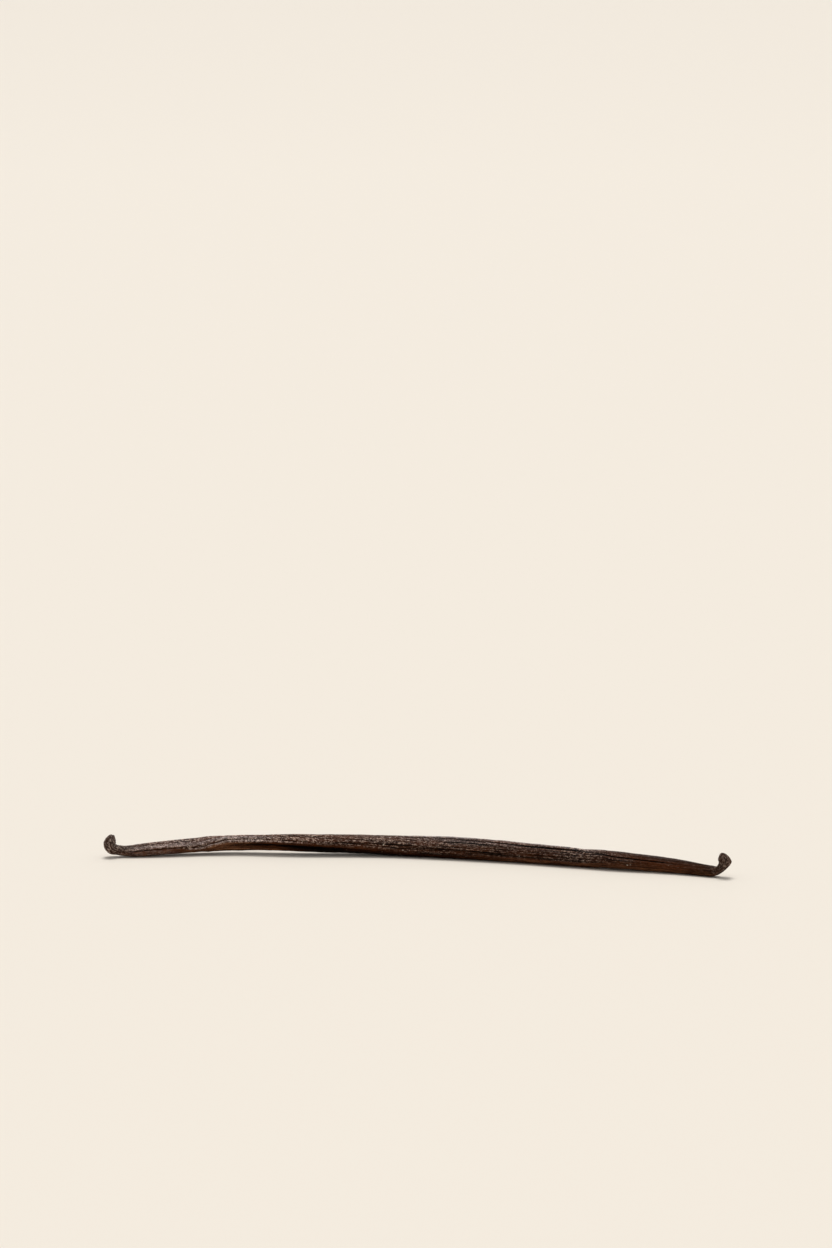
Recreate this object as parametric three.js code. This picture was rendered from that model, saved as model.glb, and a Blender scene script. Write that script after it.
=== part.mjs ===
// A cured vanilla pod, lying on its side and curled up at both ends.
//
// Millimetres and degrees, +Z up, +X from the stalk end to the blossom end.
// The pod is one closed skin, lofted ring by ring along a bent middle line. A
// place on it is given by two numbers: `along`, the distance from the stalk tip
// down the middle line, and `around`, the angle about it, where 0 is the long
// front keel and 90 lies on top. The three seams of the pod twist slowly, and
// the rings turn with them, so that every keel and groove runs down one row of
// corners.

import * as THREE from 'three';

// ---- driving dimensions ----

const LENGTH = 198.6;          // along the middle line, tip to tip
const WIDTH_TO_HEIGHT = 1.12;  // the pod has slumped a little wider than high
const SIDES = 36;              // corners in a ring
const RESTING_DENT = 0.15;     // how far the underside is pressed flat

// Half the height of the body. Each pair is [along, half height].
const BODY_HALF_HEIGHT = [
  [0, 1.67], [7.5, 1.57], [13, 1.92], [34, 2.28], [48, 2.29], [60, 2.58], [92, 2.98],
  [106, 3.11], [122, 3.04], [142, 2.73], [160, 2.66], [180, 2.12], [188, 1.79],
  [LENGTH, 1.52],
];
// Local swellings (+) and pinches (-) on top of it.
const SWELLINGS = [
  { at: 2.9, reach: 1.55, height: 0.37 },             // stalk bulb
  { at: 151.5, reach: 4.0, height: -0.14 },           // crumpled waist
  { at: LENGTH - 5.2, reach: 2.0, height: -0.33 },    // neck of the blossom end
  { at: LENGTH - 1.9, reach: 1.35, height: 0.51 },    // blossom bulb
];

// Heading in plan, in degrees from +X: the pod lies in a long shallow bow.
const HEADING = [
  [0, 24], [12, 17.5], [30, 19], [50, 3.6], [72, 8.6], [96, -0.5],
  [122, -7.8], [148, -10.6], [170, -7], [190, -18], [LENGTH, -15],
];
// The two ends curl up off the table. Each bend turns the middle line by so
// many degrees between two places.
const STALK_BENDS = [
  { from: 1.5, to: 5.1, turn: 71.5 },
  { from: 2.2, to: 9.9, turn: 26.5 },
];
const BLOSSOM_BEND = { from: LENGTH - 8.6, to: LENGTH - 0.45, turn: 95 };
const CURL_LEAN = 11;          // both curls lean back, away from the front keel
const STALK_CURL_ENDS = 12;
const BLOSSOM_CURL_STARTS = LENGTH - 10.5;
const CLOSEST_INSIDE = 0.92;   // of the way to the centre of a bend, for the skin inside it
// Where the stiff pod arches clear of the table, and by how much.
const LIFT = [
  [11, 0], [30, 0.7], [50, 1.3], [70, 0.9], [93, 0.15], [110, 0], [138, 0],
  [158, 0.25], [174, 0.2], [188, 0],
];

// The scars where the pod was cut from its stalk and lost its flower. The cut is
// slanted over `reach`, and the skin rolls in over `rimRadius` by `rimRoll`.
const STALK_SCAR = { slant: 0.43, reach: 3.2, rimRadius: 1.7, rimRoll: 0.77, dome: 0.38 };
const BLOSSOM_SCAR = { slant: 0.52, reach: 2.4, rimRadius: 1.3, rimRoll: 0.94, dome: 0.12 };
const SCAR_RINGS = [0.8, 0.55, 0.28];   // rings of a scar, as shares of its rim

// How far the seams have twisted about the middle line: [along, degrees].
const TWIST = [
  [0, -4], [23.4, -10], [30, -15], [35.4, 8], [40.5, 28], [62, 12], [93, -17],
  [119, -25], [156, -28], [161, -42], [180, -46], [188, -30], [LENGTH, -20],
];

// Keels stand proud and furrows are sunk, both as a share of the half height.
// `shares` gives that share along the pod; `spread` is the half width in degrees.
const FOLDS = [
  // the front keel, then the top keel and the under keel
  { around: 0, spread: 20,
    shares: [[8, 0], [12, 0.03], [36, 0.06], [108, 0.05], [148, 0.03], [191, 0]] },
  { around: 110, spread: 14,
    shares: [[8, 0], [38, 0.015], [90, 0.05], [104, 0.14], [122, 0.17], [148, 0.19],
      [156, 0.1], [164, 0.02], [191, 0]] },
  { around: 235, spread: 22,
    shares: [[8, 0], [28, 0.03], [168, 0.03], [191, 0]] },
  // the long furrow beside the top keel, on either side of the waist
  { around: 90, spread: 6,
    shares: [[98, 0], [108, -0.02], [124, -0.04], [145, -0.06], [154, 0]] },
  { around: 77, spread: 8,
    shares: [[152, 0], [157, -0.04], [164, -0.07], [172, -0.07], [180, -0.02], [188, 0]] },
  // the furrow under the front keel
  { around: -30, spread: 11,
    shares: [[36, 0], [41, -0.08], [70, -0.08], [78, 0]] },
];
// Small dents and lumps of a dried pod, all along the fleshy part. Each wave is
// [waves in one pitch, lobes around], and the waves never line up.
const LUMPS = {
  share: 0.006, pitch: 9.3, from: 12, to: 186, waves: [[1, 2], [0.61, -3], [1.7, 1]],
};

// Distance between rings: [along, distance]. They stand close where the pod
// curls, twists or crumples.
const RING_SPACING = [
  [0, 0.45], [9, 0.6], [15, 1.6], [29, 1.8], [33, 1.2], [42, 1.2], [48, 2.1],
  [144, 2.1], [148, 1.5], [156, 1.5], [160, 2.1], [182, 1.8], [189, 0.7],
  [LENGTH, 0.45],
];
const STEP = 0.1;              // integration step down the middle line

// ---- curves ----

const clamp01 = (x) => Math.min(Math.max(x, 0), 1);
const ease = (x) => clamp01(x) ** 2 * (3 - 2 * clamp01(x));
const radians = THREE.MathUtils.degToRad;
const bell = (offset, reach) => Math.exp(-((offset / reach) ** 2));

// Slope of the smooth curve at station i, from its neighbours.
function slopeAt(stations, i) {
  const before = stations[Math.max(i - 1, 0)];
  const after = stations[Math.min(i + 1, stations.length - 1)];
  return (after[1] - before[1]) / (after[0] - before[0]);
}

// A smooth curve through [place, value] stations, level beyond both ends.
function through(stations, place) {
  const last = stations.length - 1;
  if (place <= stations[0][0]) return stations[0][1];
  if (place >= stations[last][0]) return stations[last][1];
  const i = stations.findIndex((station) => station[0] > place) - 1;
  const [start, startValue] = stations[i];
  const [end, endValue] = stations[i + 1];
  const span = end - start;
  const t = (place - start) / span;
  const rise = ease(t);
  const leaving = t * (1 - t) ** 2 * span * slopeAt(stations, i);
  const arriving = t ** 2 * (1 - t) * span * slopeAt(stations, i + 1);
  return startValue * (1 - rise) + endValue * rise + leaving - arriving;
}

// ---- the middle line ----

// Upward pitch of the middle line, in degrees: down from the stalk tip, level
// along the body, and up again into the blossom end.
function pitchAt(along) {
  const turned = (bend) => bend.turn * ease((along - bend.from) / (bend.to - bend.from));
  const toCome = STALK_BENDS.reduce((sum, bend) => sum + bend.turn - turned(bend), 0);
  return turned(BLOSSOM_BEND) - toCome;
}

function halfHeightAt(along) {
  const swell = (sum, { at, reach, height }) => sum + height * bell(along - at, reach);
  return SWELLINGS.reduce(swell, through(BODY_HALF_HEIGHT, along));
}

// Unit direction of the middle line.
function directionAt(along) {
  const heading = radians(through(HEADING, along));
  const pitch = radians(pitchAt(along));
  const lean = radians(CURL_LEAN);
  const forward = new THREE.Vector3(Math.cos(heading), Math.sin(heading), 0);
  const leftward = new THREE.Vector3(-Math.sin(heading), Math.cos(heading), 0);
  const curl = new THREE.Vector3(0, 0, Math.cos(lean)).addScaledVector(leftward, Math.sin(lean));
  return forward.multiplyScalar(Math.cos(pitch)).addScaledVector(curl, Math.sin(pitch));
}

// Points down the middle line, every STEP, with their directions.
function walkMiddleLine() {
  const count = Math.round(LENGTH / STEP) + 1;
  const line = [{ along: 0, point: new THREE.Vector3(), direction: directionAt(0) }];
  for (let i = 1; i < count; i++) {
    const last = line[i - 1];
    const direction = directionAt(i * STEP);
    const move = last.direction.clone().add(direction).multiplyScalar(STEP / 2);
    line.push({ along: i * STEP, point: last.point.clone().add(move), direction });
  }
  return line;
}

// Height of the middle line over the table, not counting the curls.
function clearanceAt(along) {
  const onBody = THREE.MathUtils.clamp(along, STALK_CURL_ENDS, BLOSSOM_CURL_STARTS);
  return halfHeightAt(onBody) + through(LIFT, along) - RESTING_DENT;
}

// Carry an upward direction from the middle of the pod out to both tips
// without letting it spin about the line.
function carryUpward(line) {
  const middle = Math.floor(line.length / 2);
  const settle = (upward, { direction }) =>
    upward.clone().addScaledVector(direction, -upward.dot(direction)).normalize();
  line[middle].upward = settle(new THREE.Vector3(0, 0, 1), line[middle]);
  for (let i = middle + 1; i < line.length; i++) {
    line[i].upward = settle(line[i - 1].upward, line[i]);
  }
  for (let i = middle - 1; i >= 0; i--) {
    line[i].upward = settle(line[i + 1].upward, line[i]);
  }
}

function makeMiddleLine() {
  const line = walkMiddleLine();
  const level = line[Math.floor(line.length / 2)].point.z;
  for (const place of line) place.point.z += clearanceAt(place.along) - level;
  line.forEach((place, i) => {
    const before = line[Math.max(i - 1, 0)].point;
    const after = line[Math.min(i + 1, line.length - 1)].point;
    place.direction = after.clone().sub(before).normalize();
  });
  carryUpward(line);
  return line;
}

// ---- the skin ----

// Signed difference of two angles, in degrees.
const angleBetween = (a, b) => THREE.MathUtils.euclideanModulo(a - b + 180, 360) - 180;

// Gentle lumps, fading out towards the curls.
function lumpAt(along, around) {
  const { share, pitch, from, to, waves } = LUMPS;
  const fade = ease((along - from) / pitch) * ease((to - along) / pitch);
  const add = (sum, [rate, lobes]) =>
    sum + Math.sin(2 * Math.PI * rate * along / pitch + lobes * radians(around));
  return share * fade * waves.reduce(add, 0);
}

// How much further out the skin stands than a plain oval, as a factor.
function reliefAt(along, around) {
  const fold = (sum, { around: middle, spread, shares }) =>
    sum + through(shares, along) * bell(angleBetween(around, middle), spread);
  return FOLDS.reduce(fold, 1 + lumpAt(along, around));
}

// The skin rolls in as a quarter round at each scar.
function rolledIn(fromTip, { rimRadius, rimRoll }) {
  const inset = clamp01(1 - fromTip / rimRadius);
  return rimRoll * (1 - Math.sqrt(1 - inset * inset));
}

const rimRollAt = (along) => rolledIn(along, STALK_SCAR) + rolledIn(LENGTH - along, BLOSSOM_SCAR);

// Inside a tight curl the skin stays short of the centre of the bend.
function highestInsideBend(along) {
  const turn = radians(pitchAt(along + STEP / 2) - pitchAt(along - STEP / 2)) / STEP;
  return turn > 0 ? CLOSEST_INSIDE / turn : Infinity;
}

// A scar is cut on the slant: the inner side of the curl reaches further.
function slantAt(along) {
  const { slant: stalk, reach: stalkReach } = STALK_SCAR;
  const { slant: blossom, reach: blossomReach } = BLOSSOM_SCAR;
  return blossom * ease((along - LENGTH + blossomReach) / blossomReach)
    - stalk * ease((stalkReach - along) / stalkReach);
}

// One ring of the skin about a place on the middle line. `share` shrinks it
// towards the line, and `push` moves it along the line.
function makeRing({ along, point, direction, upward }, share = 1, push = 0) {
  const sideways = direction.clone().cross(upward);
  const ring = [];
  for (let side = 0; side < SIDES; side++) {
    const around = (360 * side) / SIDES;
    const angle = radians(around + through(TWIST, along));
    const half = share * (halfHeightAt(along) * reliefAt(along, around) - rimRollAt(along));
    const up = Math.min(half * Math.sin(angle), highestInsideBend(along));
    const corner = point.clone()
      .addScaledVector(sideways, WIDTH_TO_HEIGHT * half * Math.cos(angle))
      .addScaledVector(upward, up)
      .addScaledVector(direction, slantAt(along) * up + push);
    corner.z = Math.max(corner.z, 0);
    ring.push(corner);
  }
  return ring;
}

// Places of the rings down the pod, the last one exactly at the blossom tip.
function ringPlaces() {
  const places = [0];
  while (places[places.length - 1] < LENGTH) {
    const last = places[places.length - 1];
    places.push(last + through(RING_SPACING, last));
  }
  const stretch = LENGTH / places[places.length - 1];
  return places.map((place) => place * stretch);
}

// The rings of a scar, from its rim inwards, each a little further out.
function scarRings(tip, dome, outward) {
  return SCAR_RINGS.map((share) => makeRing(tip, share, outward * dome * (1 - share * share)));
}

function makeRings() {
  const line = makeMiddleLine();
  const at = (along) => line[Math.min(Math.round(along / STEP), line.length - 1)];
  const skin = ringPlaces().map((along) => makeRing(at(along)));
  const stalk = scarRings(line[0], STALK_SCAR.dome, -1).reverse();
  const blossom = scarRings(line[line.length - 1], BLOSSOM_SCAR.dome, 1);
  return [...stalk, ...skin, ...blossom];
}

const middleOf = (ring) =>
  ring.reduce((sum, corner) => sum.add(corner), new THREE.Vector3()).divideScalar(ring.length);

// Two triangles for each cell between neighbouring rings, and a fan at each
// end, all turned to face outwards.
function skinTriangles(ringCount) {
  const index = [];
  const corner = (ring, side) => ring * SIDES + (side % SIDES);
  const stalkTip = ringCount * SIDES;
  const blossomTip = stalkTip + 1;
  for (let side = 0; side < SIDES; side++) {
    for (let ring = 0; ring < ringCount - 1; ring++) {
      const [a, b] = [corner(ring, side), corner(ring, side + 1)];
      const [c, d] = [corner(ring + 1, side), corner(ring + 1, side + 1)];
      index.push(a, d, b, a, c, d);
    }
    index.push(stalkTip, corner(0, side), corner(0, side + 1));
    index.push(blossomTip, corner(ringCount - 1, side + 1), corner(ringCount - 1, side));
  }
  return index;
}

// Stand the pod over the origin: the middle of its box in plan, on the table.
function centreOverOrigin(geometry) {
  geometry.computeBoundingBox();
  const middle = geometry.boundingBox.getCenter(new THREE.Vector3());
  geometry.translate(-middle.x, -middle.y, -geometry.boundingBox.min.z);
}

function makePodGeometry() {
  const rings = makeRings();
  const corners = [...rings.flat(), middleOf(rings[0]), middleOf(rings[rings.length - 1])];
  const geometry = new THREE.BufferGeometry().setFromPoints(corners);
  geometry.setIndex(skinTriangles(rings.length));
  centreOverOrigin(geometry);
  geometry.computeVertexNormals();
  return geometry;
}

// ---- the part ----

const curedSkin = new THREE.MeshStandardMaterial({ color: 0x35231c, roughness: 0.5, metalness: 0 });

const pod = new THREE.Mesh(makePodGeometry(), curedSkin);
pod.name = 'vanilla_pod';

const part = new THREE.Group();
part.add(pod);

export default part;
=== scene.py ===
# %% [markdown]
# # A cured vanilla pod
#
# A vanilla pod is the fruit of an orchid, picked green and then sweated and dried
# for months until it is dark, oily and as pliable as a leather lace. This lesson
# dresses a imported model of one. The model fixes the size and the place of the pod;
# here it gets its finely ridged skin, its wrinkled ends, its colours and its light.
#
# The whole look hangs on one idea. A place on the pod is told by two numbers:
# how far it is **along** from the stalk tip, and how far it is **around** from the
# long front keel. Ridges, furrows and colours are all drawn in those two numbers,
# so they follow the pod's bends and its slow twist by themselves.

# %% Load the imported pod
import math
import bpy
import numpy as np
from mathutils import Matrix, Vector


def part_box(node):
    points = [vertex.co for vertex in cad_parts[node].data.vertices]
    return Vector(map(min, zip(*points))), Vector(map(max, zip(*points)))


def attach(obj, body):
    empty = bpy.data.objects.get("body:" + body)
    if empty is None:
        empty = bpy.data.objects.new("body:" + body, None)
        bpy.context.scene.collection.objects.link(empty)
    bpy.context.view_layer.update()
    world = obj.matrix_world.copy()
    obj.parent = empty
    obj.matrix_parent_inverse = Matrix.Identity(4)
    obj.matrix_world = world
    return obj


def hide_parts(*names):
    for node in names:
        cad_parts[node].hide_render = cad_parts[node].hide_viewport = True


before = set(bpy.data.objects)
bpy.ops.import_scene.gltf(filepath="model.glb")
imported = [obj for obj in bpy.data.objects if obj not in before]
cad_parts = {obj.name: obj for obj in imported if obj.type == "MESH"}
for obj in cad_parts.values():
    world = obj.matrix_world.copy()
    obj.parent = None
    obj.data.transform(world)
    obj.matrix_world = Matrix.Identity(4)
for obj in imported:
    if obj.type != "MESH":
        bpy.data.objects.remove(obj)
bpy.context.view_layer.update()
pod_low, pod_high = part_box("vanilla_pod")
MM = 0.001
span = (pod_high - pod_low) / MM
print("packed pod, mm:", [round(x, 1) for x in span])

# %% [markdown]
# ## Curves through stations
#
# A grower would describe a pod by a few stations: so thick here, so thick there.
# A spline object could join them, but a formula is easier to ask for any place at
# once. `through` is a cubic curve whose slope at a station comes from the two
# stations beside it, so it never needs handles. `ease` is the soft step that
# starts and ends level, and `bell` is a swelling that fades out both ways.

# %% Curves through stations
def ease(x):
    x = np.clip(x, 0, 1)
    return x * x * (3 - 2 * x)


def bell(offset, reach):
    return np.exp(-((offset / reach) ** 2))


def through(stations, place):
    """A smooth curve through (place, value) stations, level beyond both ends."""
    at, value = np.array(stations, float).T
    before = np.maximum(np.arange(len(at)) - 1, 0)
    after = np.minimum(np.arange(len(at)) + 1, len(at) - 1)
    slope = (value[after] - value[before]) / (at[after] - at[before])
    place = np.clip(place, at[0], at[-1])
    i = np.clip(np.searchsorted(at, place, side="right") - 1, 0, len(at) - 2)
    stretch = at[i + 1] - at[i]
    t = (place - at[i]) / stretch
    leaving = t * (1 - t) ** 2 * stretch * slope[i]
    arriving = t**2 * (1 - t) * stretch * slope[i + 1]
    return value[i] * (1 - ease(t)) + value[i + 1] * ease(t) + leaving - arriving


print("a station curve at its stations:", through([(0, 1), (5, 4), (9, 2)], np.array([0, 5, 9])))

# %% [markdown]
# ## The pod's own measurements
#
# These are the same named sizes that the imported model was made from, in
# millimetres and degrees. Repeating them keeps the dressed skin within a hair of
# the model. The body is thickest a little past the middle and thins to both ends,
# which is how a pod grows: the stalk end and the blossom end stay slender.

# %% The pod's own measurements
LENGTH = 198.6
WIDTH_TO_HEIGHT = 1.12
RESTING_DENT = 0.15
BODY_HALF_HEIGHT = [
    (0, 1.67), (7.5, 1.57), (13, 1.92), (34, 2.28), (48, 2.29), (60, 2.58), (92, 2.98),
    (106, 3.11), (122, 3.04), (142, 2.73), (160, 2.66), (180, 2.12), (188, 1.79),
    (LENGTH, 1.52),
]
SWELLINGS = [  # at, reach, height: stalk bulb, waist, neck, blossom bulb
    (2.9, 1.55, 0.37), (151.5, 4.0, -0.14), (LENGTH - 5.2, 2.0, -0.33),
    (LENGTH - 1.9, 1.35, 0.51),
]
HEADING = [
    (0, 24), (12, 17.5), (30, 19), (50, 3.6), (72, 8.6), (96, -0.5), (122, -7.8),
    (148, -10.6), (170, -7), (190, -18), (LENGTH, -15),
]
STALK_BENDS = [(1.5, 5.1, 71.5), (2.2, 9.9, 26.5)]  # from, to, degrees
BLOSSOM_BEND = (LENGTH - 8.6, LENGTH - 0.45, 95)
CURL_LEAN = 11
STALK_CURL_ENDS = 12
BLOSSOM_CURL_STARTS = LENGTH - 10.5
LIFT = [
    (11, 0), (30, 0.7), (50, 1.3), (70, 0.9), (93, 0.15), (110, 0), (138, 0),
    (158, 0.25), (174, 0.2), (188, 0),
]
TWIST = [
    (0, -4), (23.4, -10), (30, -15), (35.4, 8), (40.5, 28), (62, 12), (93, -17),
    (119, -25), (156, -28), (161, -42), (180, -46), (188, -30), (LENGTH, -20),
]


def half_height_at(along):
    swellings = sum(height * bell(along - at, reach) for at, reach, height in SWELLINGS)
    return through(BODY_HALF_HEIGHT, along) + swellings


thickest = max(half_height_at(np.arange(0, LENGTH)))
print(f"thickest place: {2 * thickest:.2f} mm high, {2 * thickest * WIDTH_TO_HEIGHT:.2f} mm wide")

# %% [markdown]
# ## The middle line
#
# A curve object with a bevel would sweep a round section, but it couldn't change
# its section from place to place. So the middle line is walked in short steps:
# each step goes the way the pod heads in plan and pitches up or down in its
# curls. An upward direction is carried along without spinning about the line.
# Sections set out from it then stay true through both curls.

# %% The middle line
STEP = 0.1  # mm


def pitch_at(along):
    def turned(start, end, degrees):
        return degrees * ease((along - start) / (end - start))

    to_come = sum(bend[2] - turned(*bend) for bend in STALK_BENDS)
    return turned(*BLOSSOM_BEND) - to_come


def unit(vectors):
    return vectors / np.linalg.norm(vectors, axis=-1, keepdims=True)


def directions_at(along):
    heading = np.radians(through(HEADING, along))[:, None]
    pitch = np.radians(pitch_at(along))[:, None]
    lean = math.radians(CURL_LEAN)
    zero = np.zeros_like(heading)
    forward = np.hstack([np.cos(heading), np.sin(heading), zero])
    leftward = np.hstack([-np.sin(heading), np.cos(heading), zero])
    curl = math.cos(lean) * np.array([0, 0, 1]) + math.sin(lean) * leftward
    return np.cos(pitch) * forward + np.sin(pitch) * curl


def carry_upward(direction):
    """An upward direction at each step, carried from the middle to both tips."""
    upward = np.zeros_like(direction)
    middle = len(direction) // 2
    current = np.array([0.0, 0.0, 1.0])
    for walk in (range(middle, len(direction)), range(middle - 1, -1, -1)):
        for i in walk:
            current = unit(current - current @ direction[i] * direction[i])
            upward[i] = current
        current = upward[middle]
    return upward


def make_middle_line():
    along = np.arange(round(LENGTH / STEP) + 1) * STEP
    direction = directions_at(along)
    moves = (direction[1:] + direction[:-1]) / 2 * STEP
    point = np.vstack([np.zeros(3), np.cumsum(moves, axis=0)])
    on_body = np.clip(along, STALK_CURL_ENDS, BLOSSOM_CURL_STARTS)
    clearance = half_height_at(on_body) + through(LIFT, along) - RESTING_DENT
    point[:, 2] += clearance - point[len(along) // 2, 2]
    direction = unit(np.gradient(point, axis=0))
    return along, point, direction, carry_upward(direction)


line_along, line_point, line_direction, line_upward = make_middle_line()
print(f"middle line: {len(line_along)} steps, {np.ptp(line_point[:, 0]):.1f} mm from tip to tip")

# %% [markdown]
# ## Where the rings go
#
# The skin is a net of rings. A viewer looks hardest where the pod curls, twists
# or crumples, so the rings crowd there and stand apart on the long even
# stretches. Spacing itself is given by stations, and the rings are then stretched
# a trifle so that the last one falls on the tip.

# %% Where the rings go
SIDES = 180
RING_SPACING = [
    (0, 0.15), (8, 0.19), (13, 0.42), (30, 0.42), (33, 0.3), (43, 0.3), (47, 0.47),
    (144, 0.47), (147, 0.28), (156, 0.28), (160, 0.47), (184, 0.42), (189, 0.19),
    (LENGTH, 0.15),
]


def ring_places():
    places = [0.0]
    while places[-1] < LENGTH:
        places.append(places[-1] + float(through(RING_SPACING, places[-1])))
    return np.array(places) * LENGTH / places[-1]


ring_along = ring_places()
side_around = np.arange(SIDES) * 360 / SIDES
print(f"{len(ring_along)} rings of {SIDES} corners, {2 * len(ring_along) * SIDES} triangles")

# %% [markdown]
# ## Combed noise
#
# As a pod dries, its wall shrinks onto the long fibres inside it, and the skin
# falls into fine lengthwise pleats. They wander, fork and fade, so they can't be
# a plain wave. The pleats here are *combed noise*: random numbers on the unrolled
# skin, smeared a long way along and only a little around. Smearing is done by
# fast Fourier transform, which also joins the sheet without a seam all around.
# Each sheet has its own fixed seed, so that the pod never changes between runs.

# %% Combed noise
SHEET_STEP = 0.2  # mm between rows of the unrolled skin
sheet_along = np.arange(0, LENGTH + SHEET_STEP, SHEET_STEP)


def combed(seed, length, width):
    """Noise of unit strength on the ring net: `length` mm along, `width` deg around."""
    noise = np.random.default_rng(seed).normal(size=(len(sheet_along), SIDES))
    row_waves = np.fft.fftfreq(len(sheet_along), SHEET_STEP)[:, None] * 2 * np.pi
    side_waves = np.fft.rfftfreq(SIDES, 360 / SIDES)[None] * 2 * np.pi
    keep = np.exp(-0.5 * ((row_waves * length) ** 2 + (side_waves * width) ** 2))
    sheet = np.fft.irfft2(np.fft.rfft2(noise) * keep, s=noise.shape)
    sheet = (sheet - sheet.mean()) / sheet.std()
    return on_rings(sheet)


def on_rings(sheet):
    """Rows of an unrolled sheet read off at the rings."""
    row = ring_along / SHEET_STEP
    below = np.minimum(row.astype(int), len(sheet) - 2)
    share = (row - below)[:, None]
    return sheet[below] * (1 - share) + sheet[below + 1] * share


pleats = combed(seed=11, length=9, width=1.9)
print("pleats run from", pleats.min().round(2), "to", pleats.max().round(2))

# %% [markdown]
# ## Keels, furrows and dents
#
# Three seams run the length of the pod, where its three flower leaves once
# joined. Dried, they stand up as keels, and the wall between them sinks into
# furrows. Each fold is a bell across the skin whose strength changes along the
# pod. Sculpting by hand could do this too, but here one fold is one line.

# %% Keels, furrows and dents
FOLDS = [  # around, spread, share of the half height at stations along
    (0, 20, [(8, 0), (12, 0.03), (36, 0.06), (108, 0.05), (148, 0.03), (191, 0)]),
    (110, 14, [(8, 0), (38, 0.015), (90, 0.05), (104, 0.14), (122, 0.17), (148, 0.19),
               (156, 0.1), (164, 0.02), (191, 0)]),
    (235, 22, [(8, 0), (28, 0.03), (168, 0.03), (191, 0)]),
    (90, 6, [(98, 0), (108, -0.02), (124, -0.04), (145, -0.06), (154, 0)]),
    (77, 8, [(152, 0), (157, -0.04), (164, -0.07), (172, -0.07), (180, -0.02), (188, 0)]),
    (-30, 11, [(36, 0), (41, -0.08), (70, -0.08), (78, 0)]),
]
LUMP_SHARE, LUMP_PITCH, LUMPS_FROM, LUMPS_TO = 0.006, 9.3, 12, 186
LUMP_WAVES = [(1, 2), (0.61, -3), (1.7, 1)]  # waves in a pitch, lobes around


def from_side(around):
    """Signed degrees from a place around the pod to every side of the net."""
    return (side_around[None] - around + 180) % 360 - 180


def lumps():
    fade = ease((ring_along - LUMPS_FROM) / LUMP_PITCH) * ease((LUMPS_TO - ring_along) / LUMP_PITCH)
    turn = 2 * np.pi * ring_along[:, None] / LUMP_PITCH
    waves = sum(np.sin(rate * turn + lobes * np.radians(side_around)) for rate, lobes in LUMP_WAVES)
    return LUMP_SHARE * fade[:, None] * waves


def laid(base, zones):
    """Adds bells across the skin to a base, zones as (around, spread, stations along)."""
    for around, spread, stations in zones:
        base = base + through(stations, ring_along)[:, None] * bell(from_side(around), spread)
    return base


folds = laid(1 + lumps(), FOLDS)
print("folds change the half height by", (folds.min() - 1).round(3), "to", (folds.max() - 1).round(3))

# %% [markdown]
# ## Pleated skin
#
# Pleats have round backs and sharp bottoms, like a cloth pushed together. Taking
# the size of the noise without its sign gives just that: wherever the noise
# crosses zero there is a sharp valley. Three widths are laid over each other.
# Towards the bulbs the pleats die out and give way to knobbly, bark-like skin.

# %% Pleated skin
BODY_FROM, STALK_FADE, BLOSSOM_FADE = 5, 8, 6  # mm in from a tip, and over what length
PLEAT_STRENGTH = [(0, 1), (120, 1), (150, 0.85), (168, 0.7), (LENGTH, 0.6)]
SWELL, BROAD, MIDDLING, FINE, CROSS = 0.035, 0.03, 0.042, 0.045, 0.022  # mm


def valleys(sheet, flat_from=1.3):
    """Round backs and sharp valleys, from -1 in a valley to 1 on a broad back."""
    return 2 * np.minimum(np.abs(sheet) / flat_from, 1) ** 0.8 - 1


from_stalk, from_blossom = ring_along - BODY_FROM, LENGTH - BODY_FROM - ring_along
body = (ease(from_stalk / STALK_FADE) * ease(from_blossom / BLOSSOM_FADE))[:, None]
knobbly = 1 - body
broad_swell = combed(seed=3, length=13, width=11)
broad_pleats = valleys(combed(seed=5, length=16, width=6.5))
middle_pleats = valleys(combed(seed=7, length=12, width=3.2))
fine_pleats = valleys(pleats)
cross_creases = valleys(combed(seed=17, length=0.5, width=5), flat_from=0.9)
relief = body * through(PLEAT_STRENGTH, ring_along)[:, None] * (
    SWELL * broad_swell + BROAD * broad_pleats + MIDDLING * middle_pleats
    + FINE * fine_pleats + CROSS * cross_creases
)
print(f"pleats stand {relief.max():.2f} mm proud and sink {-relief.min():.2f} mm")

# %% [markdown]
# ## Knobbly ends
#
# The two ends never had pulp in them. They dry into hard knobs, wrinkled every
# way and dull. Their noise is as wide as it is long. On the inside of each curl
# the skin is pressed together, so a few cross wrinkles are laid there.

# %% Knobbly ends
KNOB, CRACK, END_PLEAT = 0.07, 0.04, 0.02  # mm
INNER_SIDE, INNER_SPREAD = 90, 55  # degrees
CURLS = [(4.2, 2.2), (LENGTH - 5.2, 2.4)]  # middle of each curl and its reach
WRINKLE_PITCH, WRINKLE_DEPTH = 0.8, 0.07


def cross_waves(pitch, wander):
    """Waves that run across the skin, `pitch` mm apart, bent by `wander`."""
    return np.sin(2 * np.pi * ring_along[:, None] / pitch + wander)


knobs = combed(seed=23, length=0.55, width=15)
cracks = valleys(combed(seed=29, length=0.4, width=9))
relief = relief + knobbly * (KNOB * knobs + CRACK * cracks + END_PLEAT * fine_pleats)
wrinkle_wander = combed(seed=31, length=1.5, width=16)
twist = through(TWIST, ring_along)[:, None]
inside = bell(from_side(INNER_SIDE) + twist, INNER_SPREAD)
wrinkles = cross_waves(WRINKLE_PITCH, wrinkle_wander)
for middle, reach in CURLS:
    relief = relief + WRINKLE_DEPTH * wrinkles * inside * bell(ring_along - middle, reach)[:, None]
print(f"the ends are rough to {relief[ring_along < 6].std():.2f} mm")
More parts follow.
